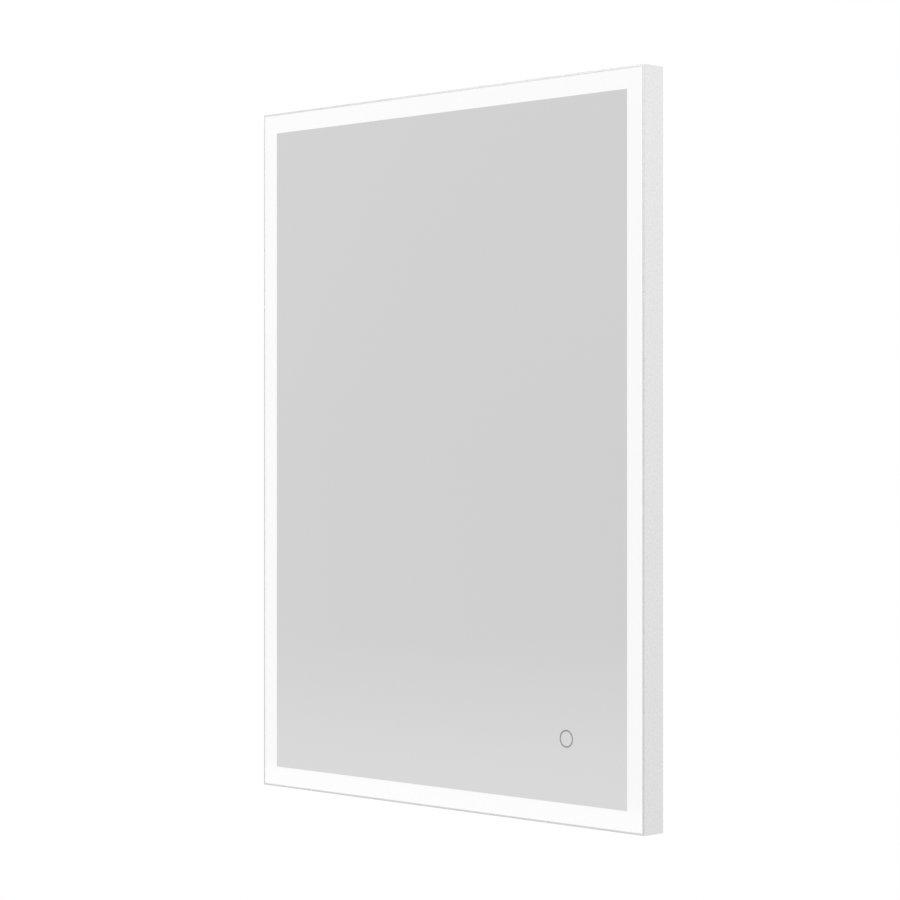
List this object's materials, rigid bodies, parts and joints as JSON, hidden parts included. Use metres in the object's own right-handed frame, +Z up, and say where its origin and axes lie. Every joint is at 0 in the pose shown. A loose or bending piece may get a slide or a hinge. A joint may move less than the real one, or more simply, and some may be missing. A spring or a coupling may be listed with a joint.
{
  "type": "lighted bathroom mirror",
  "caption": "Rectangular wall mirror in a slim aluminium frame, with an even lit band round its edge and a touch ring low on the right.",
  "frame": {"origin": "midway between the two hanging holes, in the wall plane", "axes": "+X to the viewer's right, +Y into the wall, +Z up; the mirror faces -Y"},
  "size_m": [0.6, 0.03, 0.8],
  "materials": {
    "anodised_aluminium": "bead blasted and anodised, satin",
    "zinc_plated_steel": "zinc plated",
    "rivet_aluminium": "plain aluminium",
    "float_glass": "polished float glass with a satin-etched band and touch ring",
    "silver_coat": "silvered",
    "clear_silicone": "cured silicone bead",
    "opal_acrylic": "opal, lit from behind",
    "led_board": "white solder mask with LEDs",
    "white_paint": "white powder coat",
    "foam_tape": "closed-cell foam tape",
    "heating_film": "polyester film",
    "black_moulding": "moulded, fine texture",
    "circuit_board": "green solder mask",
    "white_moulding": "moulded, fine texture",
    "grey_moulding": "moulded, fine texture",
    "terminal_moulding": "moulded polyamide",
    "brass": "turned",
    "black_rubber": "moulded",
    "grey_sheath": "extruded PVC",
    "core_insulation": "extruded PVC",
    "earth_insulation": "extruded PVC",
    "white_nylon": "moulded nylon",
    "tinned_copper": "tinned copper"
  },
  "bodies": {
    "mirror_body": {"frame_top": "anodised_aluminium", "frame_bottom": "anodised_aluminium", "frame_left": "anodised_aluminium", "frame_right": "anodised_aluminium", "corner_keys": "zinc_plated_steel", "corner_screws": "zinc_plated_steel", "mirror_glass": "float_glass", "silvering": "silver_coat", "glass_edge_seal": "clear_silicone", "diffuser_top": "opal_acrylic", "diffuser_bottom": "opal_acrylic", "diffuser_left": "opal_acrylic", "diffuser_right": "opal_acrylic", "led_strip_top": "led_board", "led_strip_bottom": "led_board", "led_strip_left": "led_board", "led_strip_right": "led_board", "strip_jumpers": "grey_sheath", "channel_rail_top": "white_paint", "channel_rail_bottom": "white_paint", "channel_rail_left": "white_paint", "channel_rail_right": "white_paint", "back_panel": "white_paint", "panel_screws": "zinc_plated_steel", "mounting_tapes": "foam_tape", "demister_pad": "heating_film", "demister_connector": "black_moulding", "sensor_housing": "black_moulding", "sensor_board": "circuit_board", "sensor_tape": "foam_tape", "driver_tray": "white_moulding", "driver_cover": "white_moulding", "driver_board": "circuit_board", "driver_screws": "zinc_plated_steel", "terminal_box_base": "grey_moulding", "lid_hinge_pin": "zinc_plated_steel", "terminal_block": "terminal_moulding", "terminal_screws": "brass", "inlet_grommet": "black_rubber", "cord_clamp": "grey_moulding", "cord_clamp_screws": "zinc_plated_steel", "box_screws": "zinc_plated_steel", "box_wires": "core_insulation", "driver_mains_lead": "grey_sheath", "driver_output_lead": "grey_sheath", "demister_lead": "grey_sheath", "strip_feed_lead": "grey_sheath", "earth_lead": "earth_insulation", "channel_grommet": "black_rubber", "cable_clips": "white_nylon", "earth_stud": "zinc_plated_steel", "earth_lug": "tinned_copper", "earth_washer": "zinc_plated_steel", "earth_nut": "zinc_plated_steel", "hanger_left": "zinc_plated_steel", "hanger_right": "zinc_plated_steel", "hanger_rivets": "rivet_aluminium"},
    "box_lid": {"terminal_box_lid": "grey_moulding"}
  },
  "joints": [
    {"name": "lid_hinge", "type": "hinge", "parent": "mirror_body", "child": "box_lid", "pos_m": [-0.16, -0.007, -0.222], "axis": [1, 0, 0], "range_deg": [0, 110]}
  ]
}
